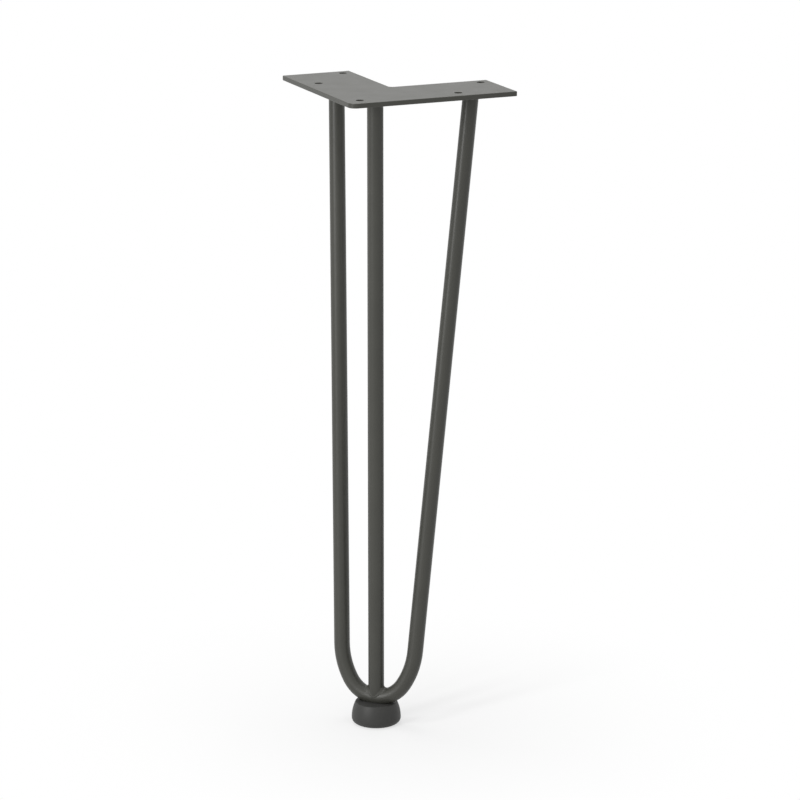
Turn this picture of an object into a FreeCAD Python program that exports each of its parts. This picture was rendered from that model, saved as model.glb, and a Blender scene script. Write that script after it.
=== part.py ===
"""A hairpin table leg: an L-shaped plate, a bent hairpin bar, an upright corner bar and a moulded foot.

Sizes are in millimetres. The origin lies on the plate's mounting face, on the axis of the corner rod and
the foot. +Z points up into the table top, +Y runs from the plate's outer corner inwards along its diagonal,
and the leg is the same on both sides of the plane X = 0. The leg hangs below the origin.
"""
import FreeCAD, Part
import math
import os
import Sketcher

doc = FreeCAD.newDocument("hairpin_table_leg")
Vector = FreeCAD.Vector
UP = Vector(0, 0, 1)
ACROSS = Vector(1, 0, 0)
# How close two places are when they count as one
TOLERANCE = 0.001
# How a sketch's constraints name its own origin and its own vertical axis
ORIGIN = (-1, 1)
VERTICAL = (-2,)

# Driving dimensions, each with what it measures
SIZES = (
    ("overall_height", 404, "mounting face to the floor"),
    ("plate_arm_length", 110, "outer corner to the end of each arm"),
    ("plate_arm_width", 45, "width of each arm"),
    ("plate_thickness", 3, "flat steel"),
    ("plate_corner_radius", 5, "rounding of the outer corner"),
    ("plate_inner_radius", 3, "fillet in the inner corner"),
    ("plate_tip_radius", 0.6, "rounding of the four corners at the arm ends"),
    ("plate_edge_radius", 0.35, "softened edge of both faces"),
    ("hole_diameter", 5, "screw holes"),
    ("side_hole_inset", 10, "outer edge to the hole beside it"),
    ("side_hole_setback", 35, "arm's end to the same hole"),
    ("tip_hole_inset", 7, "arm's end and its inner edge to the hole near both"),
    ("corner_hole_inset", 10, "both outer edges to the corner hole"),
    ("rod_diameter", 10, "round bar of both rods"),
    ("corner_rod_inset", 27.5, "both outer edges to the corner rod's axis"),
    ("hairpin_setback", 17, "arm's end to the hairpin's axis, where it would cross the mounting face"),
    ("hairpin_inner_inset", 15.5, "arm's inner edge to the same point"),
    ("bend_width", 50, "between the bar's axes at the widest part of the bend"),
    ("bend_tip_radius", 21, "bar's axis, lowest arc of the bend"),
    ("bend_shoulder_radius", 48, "bar's axis, the wider arc on each side of the bend"),
    ("foot_diameter", 31.2, "widest part of the foot"),
    ("foot_taper", 2.4, "how far the rim lies inside the widest part, on each side"),
    ("foot_height", 14, "floor to the rim"),
    ("groove_depth", 2.4, "rim to the bottom of the groove that the bend sits in"),
    ("foot_edge_radius", 3.5, "rounding between the foot's side and its base"),
    ("foot_rim_radius", 0.5, "rounding of the foot's rim"),
    ("fit_gap", 0.1, "between the bend and what is shaped to sit on or under it"),
)
sheet = doc.addObject("Spreadsheet::Sheet", "sizes")
for row, (alias, value, meaning) in enumerate(SIZES, 1):
    sheet.set(f"A{row}", alias)
    sheet.set(f"B{row}", str(value))
    sheet.set(f"C{row}", meaning)
    sheet.setAlias(f"B{row}", alias)
doc.recompute()

# Sizes that follow from the driving ones, as expressions on the sheet's cells
ROD_RADIUS = "(sizes.rod_diameter / 2)"
BEND_SEAT = "(sizes.foot_height - sizes.groove_depth + sizes.fit_gap)"
BEND_DEPTH = f"(sizes.overall_height - {BEND_SEAT} - {ROD_RADIUS})"
HAIRPIN_ACROSS_ARM = "(sizes.plate_arm_width - sizes.hairpin_inner_inset)"
HAIRPIN_ALONG_ARM = "(sizes.plate_arm_length - sizes.hairpin_setback)"
HALF_SPREAD = f"(({HAIRPIN_ALONG_ARM} - {HAIRPIN_ACROSS_ARM}) / sqrt(2))"
CORNER_ROD_REACH = "(sizes.corner_rod_inset * sqrt(2))"
HAIRPIN_REACH = f"(({HAIRPIN_ALONG_ARM} + {HAIRPIN_ACROSS_ARM}) / sqrt(2) - {CORNER_ROD_REACH})"
HAIRPIN_LEAN = f"atan({HAIRPIN_REACH} / {BEND_DEPTH})"
HAIRPIN_LENGTH = f"sqrt({BEND_DEPTH} ^ 2 + {HAIRPIN_REACH} ^ 2)"
SHOULDER_INSET = "(sizes.bend_shoulder_radius - sizes.bend_width / 2)"
CLEARANCE_DIAMETER = "(sizes.rod_diameter + 2 * sizes.fit_gap)"
RIM_RADIUS = "(sizes.foot_diameter / 2 - sizes.foot_taper)"


def size(alias):
    """The number in one cell of the sheet."""
    return float(sheet.get(alias))


def add_body(name):
    """A body, with its three origin planes by role."""
    body = doc.addObject("PartDesign::Body", name)
    planes = {feature.Role: feature for feature in body.Origin.OriginFeatures}
    return body, planes


def add_sketch(body, plane, name):
    """A sketch on one of the body's own origin planes."""
    sketch = body.newObject("Sketcher::SketchObject", name)
    sketch.AttachmentSupport = [(plane, "")]
    sketch.MapMode = "FlatFace"
    return sketch


def sheet_value(expression):
    """The present value of an expression on the sheet."""
    result = sheet.evalExpression(expression)
    return float(getattr(result, "Value", result))


def bind(sketch, kind, *where, to, name):
    """A dimension of a sketch that follows an expression."""
    index = sketch.addConstraint(Sketcher.Constraint(kind, *where, sheet_value(to)))
    sketch.renameConstraint(index, name)
    sketch.setExpression(f"Constraints.{name}", to)


def add_feature(body, kind, name, **settings):
    """A feature of a body with its settings, computed at once."""
    feature = body.newObject(kind, name)
    for key, setting in settings.items():
        setattr(feature, key, setting)
    doc.recompute()
    return feature


# The plate is laser-cut flat steel. It is drawn with its arms along X and Y and turned by 45 degrees.
plate, planes = add_body("mounting_plate")
outline = add_sketch(plate, planes["XY_Plane"], "plate_outline")
arm_length = size("plate_arm_length")
arm_width = size("plate_arm_width")
corners = [
    Vector(0, 0, 0),
    Vector(arm_length, 0, 0),
    Vector(arm_length, arm_width, 0),
    Vector(arm_width, arm_width, 0),
    Vector(arm_width, arm_length, 0),
    Vector(0, arm_length, 0),
]
for start, end in zip(corners, corners[1:] + corners[:1]):
    outline.addGeometry(Part.LineSegment(start, end))
for line in range(len(corners)):
    following = (line + 1) % len(corners)
    outline.addConstraint(Sketcher.Constraint("Coincident", line, 2, following, 1))
    direction = "Horizontal" if line % 2 == 0 else "Vertical"
    outline.addConstraint(Sketcher.Constraint(direction, line))
outline.addConstraint(Sketcher.Constraint("Coincident", 0, 1, *ORIGIN))
bind(outline, "DistanceX", *ORIGIN, 0, 2, to="sizes.plate_arm_length", name="right_arm_length")
bind(outline, "DistanceY", *ORIGIN, 4, 2, to="sizes.plate_arm_length", name="left_arm_length")
bind(outline, "DistanceY", *ORIGIN, 1, 2, to="sizes.plate_arm_width", name="right_arm_width")
bind(outline, "DistanceX", *ORIGIN, 3, 2, to="sizes.plate_arm_width", name="left_arm_width")
blank = add_feature(plate, "PartDesign::Pad", "plate_blank", Profile=outline)
blank.setExpression("Length", "sizes.plate_thickness")
doc.recompute()


def is_level(edge):
    """Whether an edge lies flat."""
    return abs(edge.valueAt(edge.FirstParameter).z - edge.CenterOfMass.z) < TOLERANCE


def edge_names(shape, wanted):
    """Names of the edges that a test picks out."""
    return [f"Edge{number}" for number, edge in enumerate(shape.Edges, 1) if wanted(edge)]


def upright_edges(shape, places):
    """Names of the vertical edges that stand at the given places."""
    def stands_there(edge):
        gaps = [math.hypot(edge.CenterOfMass.x - at.x, edge.CenterOfMass.y - at.y) for at in places]
        return not is_level(edge) and min(gaps) < TOLERANCE
    return edge_names(shape, stands_there)


roundings = (
    ("outer_corner", corners[:1], "sizes.plate_corner_radius"),
    ("inner_corner", corners[3:4], "sizes.plate_inner_radius"),
    ("arm_tips", [corners[1], corners[2], corners[4], corners[5]], "sizes.plate_tip_radius"),
)
rounded = blank
for name, places, radius in roundings:
    base = (rounded, upright_edges(rounded.Shape, places))
    rounded = add_feature(plate, "PartDesign::Fillet", name, Base=base, Radius=sheet_value(radius))
    rounded.setExpression("Radius", radius)
    doc.recompute()
base = (rounded, edge_names(rounded.Shape, is_level))
softening = size("plate_edge_radius")
softened = add_feature(plate, "PartDesign::Fillet", "soft_edges", Base=base, Radius=softening)
softened.setExpression("Radius", "sizes.plate_edge_radius")
doc.recompute()

# Five holes: two near the end of each arm and one in the corner
drilling = add_sketch(plate, planes["XY_Plane"], "hole_centres")
beside_outer_edge = ("sizes.plate_arm_length - sizes.side_hole_setback", "sizes.side_hole_inset")
near_arm_tip = (
    "sizes.plate_arm_length - sizes.tip_hole_inset",
    "sizes.plate_arm_width - sizes.tip_hole_inset",
)
in_corner = ("sizes.corner_hole_inset", "sizes.corner_hole_inset")
hole_places = (
    beside_outer_edge,
    near_arm_tip,
    beside_outer_edge[::-1],
    near_arm_tip[::-1],
    in_corner,
)
for number, (along_x, along_y) in enumerate(hole_places):
    centre = Vector(sheet_value(along_x), sheet_value(along_y), 0)
    drilling.addGeometry(Part.Circle(centre, UP, size("hole_diameter") / 2))
    bind(drilling, "DistanceX", *ORIGIN, number, 3, to=along_x, name=f"hole_{number}_x")
    bind(drilling, "DistanceY", *ORIGIN, number, 3, to=along_y, name=f"hole_{number}_y")
    bind(drilling, "Diameter", number, to="sizes.hole_diameter", name=f"hole_{number}_diameter")
undrilled_volume = softened.Shape.Volume
holes = add_feature(
    plate, "PartDesign::Pocket", "screw_holes", Profile=drilling, Type="ThroughAll", Reversed=True
)
hole_volume = math.pi * size("hole_diameter") ** 2 / 4 * size("plate_thickness")
drilled_volume = undrilled_volume - holes.Shape.Volume
assert math.isclose(drilled_volume, len(hole_places) * hole_volume, rel_tol=0.01), "screw holes"
plate.Placement = FreeCAD.Placement(Vector(0, 0, 0), FreeCAD.Rotation(UP, 45))
plate.setExpression("Placement.Base.y", f"-{CORNER_ROD_REACH}")
plate.setExpression("Placement.Base.z", "-sizes.plate_thickness")


def add_bent_bar(name, diameter):
    """A bar of the given diameter, swept along the hairpin's axis and set in its leaning plane.

    The axis is drawn with its lowest point at the sketch's origin: a straight leg, a shoulder arc, the tip
    arc, a shoulder arc and the other leg, each tangent to the next.
    """
    body, own_planes = add_body(name)
    path = add_sketch(body, own_planes["XZ_Plane"], f"{name}_axis")
    tip_radius = size("bend_tip_radius")
    shoulder_radius = size("bend_shoulder_radius")
    inset = sheet_value(SHOULDER_INSET)
    shoulder_height = tip_radius + math.sqrt((shoulder_radius - tip_radius) ** 2 - inset ** 2)
    top = Vector(sheet_value(HALF_SPREAD), sheet_value(HAIRPIN_LENGTH), 0)
    tip_centre = Vector(0, tip_radius, 0)
    shoulder_centre = Vector(-inset, shoulder_height, 0)
    to_tip = tip_centre - shoulder_centre
    to_top = top - shoulder_centre
    joint_angle = math.atan2(to_tip.y, to_tip.x)
    leg_angle = math.atan2(to_top.y, to_top.x) - math.acos(shoulder_radius / to_top.Length)
    leg_start = shoulder_centre + Vector(math.cos(leg_angle), math.sin(leg_angle), 0) * shoulder_radius
    mirrored_centre = Vector(inset, shoulder_height, 0)
    shoulder = Part.Circle(shoulder_centre, UP, shoulder_radius)
    mirrored_shoulder = Part.Circle(mirrored_centre, UP, shoulder_radius)
    tip = Part.Circle(tip_centre, UP, tip_radius)
    path.addGeometry(Part.LineSegment(Vector(-top.x, top.y, 0), Vector(-leg_start.x, leg_start.y, 0)))
    path.addGeometry(Part.ArcOfCircle(mirrored_shoulder, math.pi - leg_angle, math.pi - joint_angle))
    path.addGeometry(Part.ArcOfCircle(tip, -math.pi - joint_angle, joint_angle))
    path.addGeometry(Part.ArcOfCircle(shoulder, joint_angle, leg_angle))
    path.addGeometry(Part.LineSegment(leg_start, top))
    for piece in range(path.GeometryCount - 1):
        path.addConstraint(Sketcher.Constraint("Tangent", piece, 2, piece + 1, 1))
    path.addConstraint(Sketcher.Constraint("PointOnObject", 2, 3, *VERTICAL))
    path.addConstraint(Sketcher.Constraint("Symmetric", 1, 3, 3, 3, *VERTICAL))
    path.addConstraint(Sketcher.Constraint("Symmetric", 0, 1, 4, 2, *VERTICAL))
    bind(path, "DistanceY", *ORIGIN, 2, 3, to="sizes.bend_tip_radius", name="tip_centre_height")
    bind(path, "Radius", 2, to="sizes.bend_tip_radius", name="tip_radius")
    bind(path, "Radius", 3, to="sizes.bend_shoulder_radius", name="shoulder_radius")
    bind(path, "DistanceX", 3, 3, *ORIGIN, to=SHOULDER_INSET, name="shoulder_inset")
    bind(path, "DistanceX", *ORIGIN, 4, 2, to=HALF_SPREAD, name="half_spread")
    bind(path, "DistanceY", *ORIGIN, 4, 2, to=HAIRPIN_LENGTH, name="leg_height")
    doc.recompute()

    section = body.newObject("Sketcher::SketchObject", f"{name}_section")
    section.AttachmentSupport = [(path, "Edge1")]
    section.MapMode = "NormalToEdge"
    section.addGeometry(Part.Circle(Vector(0, 0, 0), UP, sheet_value(diameter) / 2))
    section.addConstraint(Sketcher.Constraint("Coincident", 0, 3, *ORIGIN))
    bind(section, "Diameter", 0, to=diameter, name="bar_diameter")
    doc.recompute()
    spine = (path, edge_names(path.Shape, lambda edge: True))
    sweep = add_feature(body, "PartDesign::AdditivePipe", f"{name}_sweep", Profile=section, Spine=spine)
    section_area = math.pi * sheet_value(diameter) ** 2 / 4
    assert math.isclose(sweep.Shape.Volume, section_area * path.Shape.Length, rel_tol=0.001)
    body.Placement = FreeCAD.Placement(Vector(0, 0, 0), FreeCAD.Rotation(ACROSS, -1))
    body.setExpression("Placement.Base.z", f"-{BEND_DEPTH}")
    body.setExpression("Placement.Rotation.Angle", f"-{HAIRPIN_LEAN}")
    doc.recompute()
    return body


def add_cut(name, base, tool):
    """One solid less another."""
    cut = doc.addObject("Part::Cut", name)
    cut.Base = base
    cut.Tool = tool
    return cut


# The hairpin is one bar bent cold, its two ends sawn level to meet the plate's underside
bent_bar = add_bent_bar("bent_bar", "sizes.rod_diameter")
saw = doc.addObject("Part::Box", "above_underside")
saw.setExpression("Length", "2 * sizes.plate_arm_length")
saw.setExpression("Width", "2 * sizes.plate_arm_length")
saw.setExpression("Height", "sizes.plate_thickness + sizes.rod_diameter")
saw.setExpression("Placement.Base.x", "-sizes.plate_arm_length")
saw.setExpression("Placement.Base.y", f"-{CORNER_ROD_REACH}")
saw.setExpression("Placement.Base.z", "-sizes.plate_thickness")
hairpin_rod = add_cut("hairpin_rod", bent_bar, saw)

# The corner rod stands upright, its lower end coped to sit on the bend
bend_clearance = add_bent_bar("bend_clearance", CLEARANCE_DIAMETER)
straight_bar = doc.addObject("Part::Cylinder", "straight_bar")
straight_bar.setExpression("Radius", ROD_RADIUS)
straight_bar.setExpression("Height", f"{BEND_DEPTH} - sizes.plate_thickness")
straight_bar.setExpression("Placement.Base.z", f"-{BEND_DEPTH}")
corner_rod = add_cut("corner_rod", straight_bar, bend_clearance)

# The foot is one moulding, turned in form, with a groove of the bend's own shape across its top
foot_blank, planes = add_body("foot_blank")
profile = add_sketch(foot_blank, planes["XZ_Plane"], "foot_profile")
edge_radius = size("foot_edge_radius")
widest = size("foot_diameter") / 2
rim = sheet_value(RIM_RADIUS)
rise = size("foot_height") - edge_radius
side_radius = (rise ** 2 + (widest - rim) ** 2) / (2 * (widest - rim))
base_centre = Vector(0, 0, 0)
base_edge = Vector(widest - edge_radius, 0, 0)
rim_edge = Vector(rim, size("foot_height"), 0)
rim_centre = Vector(0, size("foot_height"), 0)
edge_circle = Part.Circle(Vector(widest - edge_radius, edge_radius, 0), UP, edge_radius)
side_circle = Part.Circle(Vector(widest - side_radius, edge_radius, 0), UP, side_radius)
profile.addGeometry(Part.LineSegment(base_centre, base_edge))
profile.addGeometry(Part.ArcOfCircle(edge_circle, -math.pi / 2, 0))
profile.addGeometry(Part.ArcOfCircle(side_circle, 0, math.asin(rise / side_radius)))
profile.addGeometry(Part.LineSegment(rim_edge, rim_centre))
profile.addGeometry(Part.LineSegment(rim_centre, base_centre))
profile.addConstraint(Sketcher.Constraint("Tangent", 0, 2, 1, 1))
profile.addConstraint(Sketcher.Constraint("Tangent", 1, 2, 2, 1))
profile.addConstraint(Sketcher.Constraint("Coincident", 2, 2, 3, 1))
profile.addConstraint(Sketcher.Constraint("Coincident", 3, 2, 4, 1))
profile.addConstraint(Sketcher.Constraint("Coincident", 4, 2, 0, 1))
profile.addConstraint(Sketcher.Constraint("Coincident", 0, 1, *ORIGIN))
profile.addConstraint(Sketcher.Constraint("Horizontal", 0))
profile.addConstraint(Sketcher.Constraint("Horizontal", 3))
profile.addConstraint(Sketcher.Constraint("Vertical", 4))
profile.addConstraint(Sketcher.Constraint("Horizontal", 1, 3, 1, 2))
bind(profile, "Radius", 1, to="sizes.foot_edge_radius", name="edge_radius")
bind(profile, "DistanceX", *ORIGIN, 1, 2, to="sizes.foot_diameter / 2", name="widest")
bind(profile, "DistanceX", *ORIGIN, 2, 2, to=RIM_RADIUS, name="rim")
bind(profile, "DistanceY", *ORIGIN, 2, 2, to="sizes.foot_height", name="rim_height")
axis = (profile, ["V_Axis"])
turned = add_feature(
    foot_blank, "PartDesign::Revolution", "foot_turned", Profile=profile, ReferenceAxis=axis, Angle=360
)
rim_plane = size("foot_height") - TOLERANCE
rim_edges = edge_names(turned.Shape, lambda edge: is_level(edge) and edge.CenterOfMass.z > rim_plane)
base = (turned, rim_edges)
foot_rim = add_feature(
    foot_blank, "PartDesign::Fillet", "foot_rim", Base=base, Radius=size("foot_rim_radius")
)
foot_rim.setExpression("Radius", "sizes.foot_rim_radius")
foot_blank.setExpression("Placement.Base.z", "-sizes.overall_height")
foot = add_cut("foot", foot_blank, bend_clearance)

doc.recompute()
for item in doc.Objects:
    failed = [state for state in item.State if state in ("Invalid", "Error")]
    assert not failed, f"{item.Name}: {failed}"

os.makedirs("parts", exist_ok=True)
for piece in (plate, hairpin_rod, corner_rod, foot):
    shape = piece.Shape
    assert not shape.isNull() and shape.isValid(), piece.Label
    assert len(shape.Solids) == 1, f"{piece.Label} has {len(shape.Solids)} solids"
    shape.exportStep(f"parts/{piece.Label}.step")
    box = shape.BoundBox
    print(f"{piece.Label}: {shape.Volume:.1f} mm3, "
          f"X {box.XMin:.2f} to {box.XMax:.2f}, Y {box.YMin:.2f} to {box.YMax:.2f}, "
          f"Z {box.ZMin:.2f} to {box.ZMax:.2f}")
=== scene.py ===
import bpy
import math
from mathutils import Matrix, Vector


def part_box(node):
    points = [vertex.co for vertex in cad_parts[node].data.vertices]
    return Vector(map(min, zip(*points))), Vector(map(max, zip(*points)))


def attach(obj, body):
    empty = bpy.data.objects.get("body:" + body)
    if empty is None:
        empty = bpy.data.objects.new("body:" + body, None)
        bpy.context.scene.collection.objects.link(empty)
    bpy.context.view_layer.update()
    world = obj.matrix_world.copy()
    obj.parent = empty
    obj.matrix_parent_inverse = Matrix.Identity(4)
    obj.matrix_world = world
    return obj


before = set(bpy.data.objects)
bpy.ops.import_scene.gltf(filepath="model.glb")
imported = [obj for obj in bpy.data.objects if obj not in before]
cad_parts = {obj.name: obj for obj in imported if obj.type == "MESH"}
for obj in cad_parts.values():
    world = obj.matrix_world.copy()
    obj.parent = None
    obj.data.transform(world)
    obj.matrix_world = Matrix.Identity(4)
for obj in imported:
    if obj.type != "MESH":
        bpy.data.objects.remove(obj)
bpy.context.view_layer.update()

# Mounting plate. An L of flat steel, laser-cut with its five screw holes and deburred.
# It is coated together with the rods after welding, in a satin anthracite powder that flows out
# into a fine orange peel.
COAT_COLOUR = (0.051, 0.051, 0.0435)
COAT_ROUGHNESS = 0.38
COAT_SHEEN_SPREAD = 0.1
COAT_SPECULAR = 0.35
MOTTLE_SIZE = 0.014
MOTTLE_DETAIL = 3.0
MOTTLE_SHARE = 0.55
PEEL_SIZE = 0.0011
PEEL_DEPTH = 0.00004
PEEL_SHARE = 0.7
GRIT_SIZE = 0.00032
PLAIN_DETAIL = 1.0
NOISE_LOW = 0.3
NOISE_MIDDLE = 0.5
NOISE_HIGH = 0.7
SHADE_SPREAD = 0.07


class Value:
    """One socket of a node tree. Python arithmetic on it adds the Math nodes."""

    def __init__(self, tree, socket):
        self.tree = tree
        self.socket = socket

    def math(self, operation, *terms):
        """The result of one Math node on the given terms."""
        return self.tree.add("ShaderNodeMath", {"operation": operation}, dict(enumerate(terms)))[0]

    def __add__(self, other):
        return self.math("ADD", self, other)

    def __radd__(self, other):
        return self.math("ADD", other, self)

    def __sub__(self, other):
        return self.math("SUBTRACT", self, other)

    def __rsub__(self, other):
        return self.math("SUBTRACT", other, self)

    def __mul__(self, other):
        return self.math("MULTIPLY", self, other)

    def __rmul__(self, other):
        return self.math("MULTIPLY", other, self)

    def __truediv__(self, other):
        return self.math("DIVIDE", self, other)

    def __rtruediv__(self, other):
        return self.math("DIVIDE", other, self)


class Outputs:
    """The outputs of one node, picked by name or by number."""

    def __init__(self, tree, node):
        self.tree = tree
        self.node = node

    def __getitem__(self, key):
        return Value(self.tree, self.node.outputs[key])


class Tree:
    """A node tree that is filled one node at a time."""

    def __init__(self, node_tree):
        self.nodes = node_tree.nodes
        self.links = node_tree.links
        self.nodes.clear()

    def add(self, kind, settings=None, inputs=None):
        """Adds a node: first its settings, then the values or the links of its sockets."""
        node = self.nodes.new(kind)
        for name, setting in (settings or {}).items():
            if name == "stops":
                for element, (position, colour) in zip(node.color_ramp.elements, setting):
                    element.position = position
                    element.color = colour
            else:
                setattr(node, name, setting)
        for key, value in (inputs or {}).items():
            if isinstance(value, Value):
                self.links.new(value.socket, node.inputs[key])
            else:
                node.inputs[key].default_value = value
        return Outputs(self, node)


def new_material(name):
    """An empty material, its node tree, and the place on the object that its patterns follow."""
    material = bpy.data.materials.new(name)
    material.use_nodes = True
    tree = Tree(material.node_tree)
    return material, tree, tree.add("ShaderNodeTexCoord")["Object"]


def noise(tree, place, size, detail):
    """Cloudy noise in lumps of the given size. It swings about the middle, mostly between low and high."""
    return tree.add(
        "ShaderNodeTexNoise", inputs={"Vector": place, "Scale": 1 / size, "Detail": detail}
    )["Fac"]


def shaded(colour, factor):
    """A colour made lighter or darker by a factor, with full alpha."""
    return (*(channel * factor for channel in colour), 1)


def shades(tree, colour, pattern):
    """A colour that is a little darker where the pattern is low, and a little lighter where it is high."""
    stops = ((NOISE_LOW, shaded(colour, 1 - SHADE_SPREAD)), (NOISE_HIGH, shaded(colour, 1 + SHADE_SPREAD)))
    return tree.add("ShaderNodeValToRGB", {"stops": stops}, {"Fac": pattern})["Color"]


def relief(tree, height, depth):
    """The normal of a surface with bumps of the given depth."""
    return tree.add("ShaderNodeBump", inputs={"Strength": 1.0, "Distance": depth, "Height": height})["Normal"]


def end_material(tree, colour, roughness, specular, normal):
    """Ends a material in its shader."""
    shader = tree.add(
        "ShaderNodeBsdfPrincipled",
        inputs={
            "Base Color": colour,
            "Roughness": roughness,
            "Specular IOR Level": specular,
            "Normal": normal,
        },
    )["BSDF"]
    tree.add("ShaderNodeOutputMaterial", inputs={"Surface": shader})


def powder_coat(name):
    """Anthracite powder coat: a film that varies a little in shade and sheen, with orange peel and grit."""
    material, tree, place = new_material(name)
    mottle = noise(tree, place, MOTTLE_SIZE, MOTTLE_DETAIL)
    peel = noise(tree, place, PEEL_SIZE, PLAIN_DETAIL)
    grit = noise(tree, place, GRIT_SIZE, PLAIN_DETAIL)
    end_material(
        tree,
        colour=shades(tree, COAT_COLOUR, mottle * MOTTLE_SHARE + grit * (1 - MOTTLE_SHARE)),
        roughness=COAT_ROUGHNESS + COAT_SHEEN_SPREAD * (mottle - NOISE_MIDDLE),
        specular=COAT_SPECULAR,
        normal=relief(tree, peel * PEEL_SHARE + grit * (1 - PEEL_SHARE), PEEL_DEPTH),
    )
    return material


def coat_node(node, material):
    """Gives a solid its finish."""
    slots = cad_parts[node].data.materials
    slots.clear()
    slots.append(material)


steel_coat = powder_coat("anthracite_powder_coat")
coat_node("mounting_plate", steel_coat)

# Hairpin rod. One round steel bar, bent cold into a long loop and welded to the plate at both ends.
# It carries the same powder coat as the plate.
coat_node("hairpin_rod", steel_coat)

# Corner rod. A straight round steel bar under the plate's corner, coped at its lower end to sit on the
# bend. It is welded at both ends and coated with the rest.
coat_node("corner_rod", steel_coat)

# Weld beads. Each bar end is welded all round to the plate's underside with a small fillet of weld metal.
# The beads were laid in short ripples and coated over, which leaves their ripples soft.
BEAD_WIDTH = 0.0044
BEAD_HEIGHT = 0.0018
BEAD_STAND_OFF = 0.00064
BEAD_LEAN = math.radians(-45)
BEAD_RIPPLE = 0.0016
RIPPLE_DEPTH = 0.1
UNEVENNESS = 0.3
UNEVEN_SCALE = 350.0
RING_POINTS = 64
BEAD_SIDES = 20
STEPS_PER_RIPPLE = 8
SAME_PLACE = 0.00001


def bead_tree():
    """Geometry nodes that turn a ring of edges into a rippled bead. Its flat oval section is a circle one
    metre across, scaled down to the bead's width and height."""
    group = bpy.data.node_groups.new("weld_bead", "GeometryNodeTree")
    tree = Tree(group)
    sizes = ("Bead Width", "Bead Height", "Bead Lean", "Ripple Length", "Ripple Depth", "Unevenness", "Seed")
    group.interface.new_socket("Geometry", in_out="INPUT", socket_type="NodeSocketGeometry")
    for name in sizes:
        group.interface.new_socket(name, in_out="INPUT", socket_type="NodeSocketFloat")
    group.interface.new_socket("Material", in_out="INPUT", socket_type="NodeSocketMaterial")
    group.interface.new_socket("Geometry", in_out="OUTPUT", socket_type="NodeSocketGeometry")
    given = tree.add("NodeGroupInput")
    ring = tree.add("GeometryNodeMeshToCurve", inputs={"Mesh": given["Geometry"]})["Curve"]
    step = given["Ripple Length"] / STEPS_PER_RIPPLE
    seam = tree.add("GeometryNodeResampleCurve", {"mode": "LENGTH"}, {"Curve": ring, "Length": step})["Curve"]
    seam = tree.add("GeometryNodeSetCurveNormal", {"mode": "Z_UP"}, {"Curve": seam})["Curve"]
    run = tree.add("GeometryNodeSplineParameter")["Length"]
    swing = run * math.pi / given["Ripple Length"]
    wave = swing.math("ABSOLUTE", swing.math("SINE", swing))
    place = tree.add("GeometryNodeInputPosition")["Position"]
    uneven = tree.add(
        "ShaderNodeTexNoise",
        {"noise_dimensions": "4D"},
        {"Vector": place, "W": given["Seed"], "Scale": UNEVEN_SCALE, "Detail": PLAIN_DETAIL},
    )["Fac"]
    size = 1 - given["Ripple Depth"] * (1 - wave) + given["Unevenness"] * (uneven - NOISE_MIDDLE)
    circle = tree.add(
        "GeometryNodeCurvePrimitiveCircle", {"mode": "RADIUS"}, {"Resolution": BEAD_SIDES, "Radius": 1 / 2}
    )["Curve"]
    oval = tree.add(
        "ShaderNodeCombineXYZ", inputs={"X": given["Bead Width"], "Y": given["Bead Height"], "Z": 1.0}
    )["Vector"]
    lean = tree.add("ShaderNodeCombineXYZ", inputs={"Z": given["Bead Lean"]})["Vector"]
    section = tree.add(
        "GeometryNodeTransform", inputs={"Geometry": circle, "Rotation": lean, "Scale": oval}
    )["Geometry"]
    bead = tree.add(
        "GeometryNodeCurveToMesh", inputs={"Curve": seam, "Profile Curve": section, "Scale": size}
    )["Mesh"]
    bead = tree.add("GeometryNodeSetShadeSmooth", inputs={"Geometry": bead})["Geometry"]
    bead = tree.add("GeometryNodeRealizeInstances", inputs={"Geometry": bead})["Geometry"]
    bead = tree.add("GeometryNodeSetMaterial", inputs={"Geometry": bead, "Material": given["Material"]})
    tree.add("NodeGroupOutput", inputs={"Geometry": bead["Geometry"]})
    return group


weld_bead = bead_tree()


def set_out(name, data):
    """A new object of the scene, at the origin, for a mesh, a lamp or a camera."""
    thing = bpy.data.objects.new(name, data)
    bpy.context.scene.collection.objects.link(thing)
    return thing


def lay_bead(name, ring, seed):
    """Runs the bead's nodes along a closed ring of points and keeps the result as a plain mesh."""
    seam = bpy.data.meshes.new(f"{name}_seam")
    edges = [(point, (point + 1) % len(ring)) for point in range(len(ring))]
    seam.from_pydata(ring, edges, [])
    piece = set_out(name, seam)
    modifier = piece.modifiers.new("bead", "NODES")
    modifier.node_group = weld_bead
    values = {
        "Bead Width": BEAD_WIDTH,
        "Bead Height": BEAD_HEIGHT,
        "Bead Lean": BEAD_LEAN,
        "Ripple Length": BEAD_RIPPLE,
        "Ripple Depth": RIPPLE_DEPTH,
        "Unevenness": UNEVENNESS,
        "Seed": seed,
        "Material": steel_coat,
    }
    for item in weld_bead.interface.items_tree:
        if item.in_out == "INPUT" and item.name in values:
            modifier[item.identifier] = values[item.name]
    evaluated = piece.evaluated_get(bpy.context.evaluated_depsgraph_get())
    bead = bpy.data.meshes.new_from_object(evaluated)
    piece.modifiers.clear()
    piece.data = bead
    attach(piece, "root")


def places(node):
    """The corner points of a solid's mesh."""
    return [vertex.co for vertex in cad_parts[node].data.vertices]


def ring_round_end(outline):
    """A ring just below the plate's underside, around the bar end that has the given outline."""
    low = Vector((min(point.x for point in outline), min(point.y for point in outline)))
    high = Vector((max(point.x for point in outline), max(point.y for point in outline)))
    centre = (low + high) / 2
    reach = (high - low) / 2 + Vector((BEAD_STAND_OFF, BEAD_STAND_OFF))
    height = outline[0].z - BEAD_STAND_OFF
    ring = []
    for number in range(RING_POINTS):
        turn = 2 * math.pi * number / RING_POINTS
        ring.append((centre.x + reach.x * math.cos(turn), centre.y + reach.y * math.sin(turn), height))
    return ring


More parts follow.
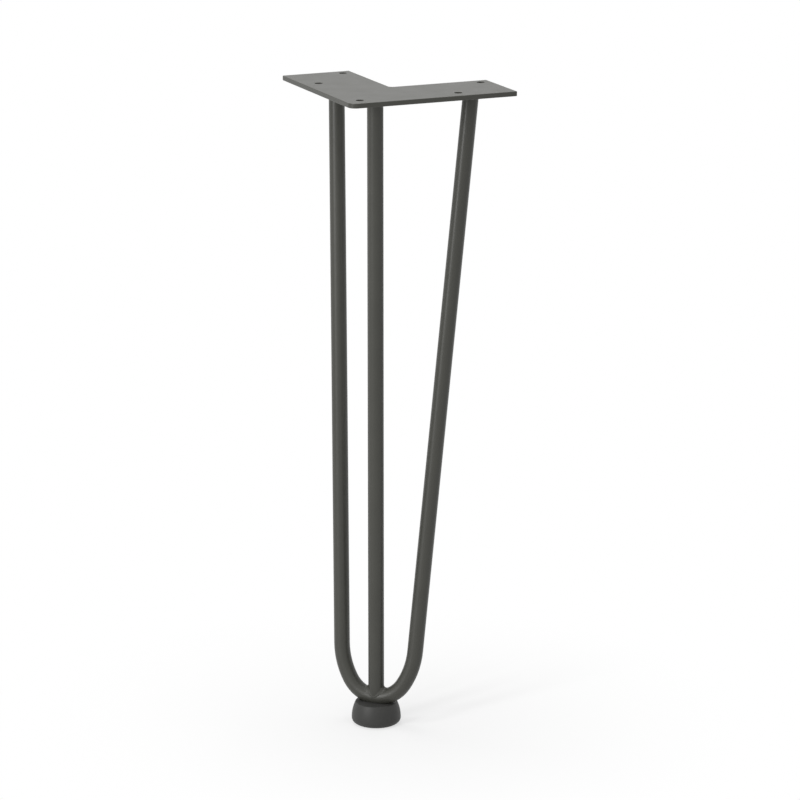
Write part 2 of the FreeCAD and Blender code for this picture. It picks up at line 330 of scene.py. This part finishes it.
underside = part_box("mounting_plate")[0].z
hairpin_ends = [point for point in places("hairpin_rod") if point.z > underside - SAME_PLACE]
corner_end = [point for point in places("corner_rod") if point.z > underside - SAME_PLACE]
bar_ends = (
    ("weld_hairpin_left", [point for point in hairpin_ends if point.x < 0]),
    ("weld_hairpin_right", [point for point in hairpin_ends if point.x > 0]),
    ("weld_corner_rod", corner_end),
)
for seed, (name, outline) in enumerate(bar_ends):
    lay_bead(name, ring_round_end(outline), seed)

# Joint weld. A fillet of weld metal all round the corner rod where it stands on the bend, coated over.
# It is full on the two sides, and thin at the front and back, where the rod's wall is flush with the bend's.
FILLET_REACH = 0.0026
FILLET_REACH_THIN = 0.0005
FILLET_SWELL = 0.0007
FILLET_SWELL_THIN = 0.0002
FILLET_ROOT = 0.0005
FILLET_SINK = 0.00003
FILLET_TURNS = 160
FILLET_STEPS = 10
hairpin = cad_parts["hairpin_rod"]
corner_low, corner_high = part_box("corner_rod")
rod_radius = (corner_high.x - corner_low.x) / 2
half_way = (corner_high.z + corner_low.z) / 2
low_points = [point for point in places("corner_rod") if point.z < half_way]
rim_points = [point for point in low_points if point.xy.length > rod_radius - SAME_PLACE]
rim = sorted({(math.atan2(point.y, point.x), point.z) for point in rim_points})


def wall_direction(turn):
    """The way that the corner rod's wall faces at one place around it."""
    return Vector((math.cos(turn), math.sin(turn), 0))


def seam_point(turn):
    """A point of the corner rod's lower rim, between the two rim points on either side of it."""
    onward = next((number for number, (angle, _) in enumerate(rim) if angle > turn), 0)
    (start, start_height), (end, end_height) = rim[onward - 1], rim[onward]
    share = (turn - start) % (2 * math.pi) / ((end - start) % (2 * math.pi))
    point = wall_direction(turn) * rod_radius
    point.z = start_height + (end_height - start_height) * share
    return point


def fillet_section(turn, corner, along):
    """The fillet's outline at one place around the rod: down its hollow face from the wall to the bend, and
    back through a root inside the metal."""
    wall_faces = wall_direction(turn)
    _, _, bend_faces, _ = hairpin.closest_point_on_mesh(corner)
    outward = (wall_faces + bend_faces).normalized()
    fullness = math.cos(turn) ** 2
    reach = FILLET_REACH_THIN + (FILLET_REACH - FILLET_REACH_THIN) * fullness
    swell = FILLET_SWELL_THIN + (FILLET_SWELL - FILLET_SWELL_THIN) * fullness
    top = corner + Vector((0, 0, reach)) - wall_faces * FILLET_SINK
    _, toe, toe_faces, _ = hairpin.closest_point_on_mesh(corner + along.cross(bend_faces) * reach)
    toe -= toe_faces * FILLET_SINK
    pull = corner + outward * swell
    outline = [corner - outward * FILLET_ROOT]
    for step in range(FILLET_STEPS + 1):
        share = step / FILLET_STEPS
        outline.append(top * (1 - share) ** 2 + pull * 2 * share * (1 - share) + toe * share ** 2)
    return outline


turns = [2 * math.pi * number / FILLET_TURNS - math.pi for number in range(FILLET_TURNS)]
seam = [seam_point(turn) for turn in turns]
points = []
for number, turn in enumerate(turns):
    along = (seam[(number + 1) % FILLET_TURNS] - seam[number - 1]).normalized()
    points.extend(fillet_section(turn, seam[number], along))
width = len(points) // FILLET_TURNS
faces = []
for start in range(0, len(points), width):
    onward = (start + width) % len(points)
    for column in range(width):
        beside = (column + 1) % width
        faces.append((start + column, start + beside, onward + beside, onward + column))
fillet_mesh = bpy.data.meshes.new("weld_rod_to_bend")
fillet_mesh.from_pydata(points, [], faces)
fillet_mesh.materials.append(steel_coat)
fillet_mesh.shade_smooth()
fillet = set_out("weld_rod_to_bend", fillet_mesh)
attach(fillet, "root")

# Foot. One moulding in dark plastic that the bend sits in. Its mould was spark eroded, which leaves a
# fine matt grain all over, and the plastic scatters light more softly than the coat does.
FOOT_COLOUR = (0.034, 0.034, 0.032)
FOOT_ROUGHNESS = 0.52
FOOT_SHEEN_SPREAD = 0.08
FOOT_SPECULAR = 0.36
CLOUD_SIZE = 0.00625
CLOUD_SHARE = 0.5
GRAIN_SIZE = 0.00045
GRAIN_DEPTH = 0.00004
GRAIN_DETAIL = 2.0


def moulded_plastic(name):
    """Matt moulded plastic: a fine even grain, and faint clouds in its shade and sheen."""
    material, tree, place = new_material(name)
    cloud = noise(tree, place, CLOUD_SIZE, GRAIN_DETAIL)
    grain = noise(tree, place, GRAIN_SIZE, GRAIN_DETAIL)
    end_material(
        tree,
        colour=shades(tree, FOOT_COLOUR, cloud * CLOUD_SHARE + grain * (1 - CLOUD_SHARE)),
        roughness=FOOT_ROUGHNESS + FOOT_SHEEN_SPREAD * (cloud - NOISE_MIDDLE),
        specular=FOOT_SPECULAR,
        normal=relief(tree, grain, GRAIN_DEPTH),
    )
    return material


coat_node("foot", moulded_plastic("moulded_foot_plastic"))

# Floor. White paper that the foot stands on. Far from the foot it is as white as the background, and
# near the foot it takes the leg's soft shadow. It can be looked through from below.
FLOOR_HALF = 8.0
FLOOR_WHITE = 0.88
SHADOW_REACH = 0.25
SHADOW_SHARE = 0.35
FLOOR_GAP = 0.00005
WHITE = (1, 1, 1, 1)
floor_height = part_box("foot")[0].z - FLOOR_GAP
corners = ((-1, -1), (1, -1), (1, 1), (-1, 1))
floor_corners = [(x * FLOOR_HALF, y * FLOOR_HALF, floor_height) for x, y in corners]
floor_mesh = bpy.data.meshes.new("floor")
floor_mesh.from_pydata(floor_corners, [], [(0, 1, 2, 3)])


def sees_background(tree):
    """1 for rays from the camera, a mirror or a glass, which see the background white."""
    ray = tree.add("ShaderNodeLightPath")
    camera_ray = ray["Is Camera Ray"]
    seen = camera_ray.math("MAXIMUM", camera_ray, ray["Is Glossy Ray"])
    return seen.math("MAXIMUM", seen, ray["Is Transmission Ray"])


def white_paper(name):
    """Paper that turns from lit white near the foot to the background's own white, seen only from above."""
    material, tree, place = new_material(name)
    level = tree.add("ShaderNodeVectorMath", {"operation": "MULTIPLY"}, {0: place, 1: (1, 1, 0)})["Vector"]
    distance = tree.add("ShaderNodeVectorMath", {"operation": "LENGTH"}, {0: level})["Value"]
    far = tree.add(
        "ShaderNodeMapRange",
        {"interpolation_type": "SMOOTHSTEP"},
        {
            "Value": distance,
            "From Min": 0.0,
            "From Max": SHADOW_REACH,
            "To Min": 1 - SHADOW_SHARE,
            "To Max": 1.0,
        },
    )["Result"]
    lit = tree.add("ShaderNodeBsdfDiffuse", inputs={"Color": shaded((1, 1, 1), FLOOR_WHITE)})["BSDF"]
    white = tree.add("ShaderNodeEmission", inputs={"Color": WHITE, "Strength": 1.0})["Emission"]
    whiteness = far * sees_background(tree)
    paper = tree.add("ShaderNodeMixShader", inputs={0: whiteness, 1: lit, 2: white})["Shader"]
    from_below = tree.add("ShaderNodeNewGeometry")["Backfacing"]
    nothing = tree.add("ShaderNodeBsdfTransparent")["BSDF"]
    look = tree.add("ShaderNodeMixShader", inputs={0: from_below, 1: paper, 2: nothing})["Shader"]
    tree.add("ShaderNodeOutputMaterial", inputs={"Surface": look})
    return material


floor_mesh.materials.append(white_paper("white_paper"))
set_out("floor", floor_mesh)

# Studio light. A large soft box overhead, a tall one to the left of the camera that draws the highlights
# along the bars, a small one high in front that lights the top of the bend, and a white room.
ROOM_LIGHT = 0.44
OVERHEAD = {"place": (-0.15, 0.15, 1.1), "aim": (0, 0, -0.2), "width": 0.6, "height": 0.6, "power": 8.0}
KEY = {"place": (-0.72, -1.5, 0.32), "aim": (0, 0, -0.25), "width": 0.25, "height": 0.7, "power": 14.0}
FRONT = {"place": (-0.25, -0.55, 1.0), "aim": (0, 0, -0.38), "width": 0.15, "height": 0.3, "power": 3.0}


def add_soft_box(name, place, aim, width, height, power):
    """An oblong lamp that shines from its place towards its aim."""
    light = bpy.data.lights.new(name, "AREA")
    light.shape = "RECTANGLE"
    light.size = width
    light.size_y = height
    light.energy = power
    lamp = set_out(name, light)
    lamp.location = place
    lamp.rotation_euler = (Vector(aim) - Vector(place)).to_track_quat("-Z", "Y").to_euler()


add_soft_box("overhead_soft_box", **OVERHEAD)
add_soft_box("key_soft_box", **KEY)
add_soft_box("front_soft_box", **FRONT)
room = bpy.data.worlds.new("white_room")
room.use_nodes = True
room_tree = Tree(room.node_tree)
room_light = room_tree.add("ShaderNodeBackground", inputs={"Color": WHITE, "Strength": ROOM_LIGHT})
backdrop = room_tree.add("ShaderNodeBackground", inputs={"Color": WHITE, "Strength": 1.0})
room_look = room_tree.add(
    "ShaderNodeMixShader",
    inputs={0: sees_background(room_tree), 1: room_light["Background"], 2: backdrop["Background"]},
)
room_tree.add("ShaderNodeOutputWorld", inputs={"Surface": room_look["Shader"]})
bpy.context.scene.world = room

# Camera. It stands to the right of the plate's corner and a little above it, looking down on the plate,
# with a lens long enough for the one leg to fill the picture.
CAMERA_PLACE = (0.8036, -2.0191, 0.3862)
CAMERA_TURN = 21.305
CAMERA_DIP = 14.912
CAMERA_LENS = 163.0
CAMERA_SENSOR = 36
camera_data = bpy.data.cameras.new("camera")
camera_data.lens = CAMERA_LENS
camera_data.sensor_width = CAMERA_SENSOR
camera = set_out("camera", camera_data)
camera.location = CAMERA_PLACE
camera.rotation_euler = (math.radians(90 - CAMERA_DIP), 0, math.radians(CAMERA_TURN))
bpy.context.scene.camera = camera
bpy.context.scene.view_settings.view_transform = "Standard"
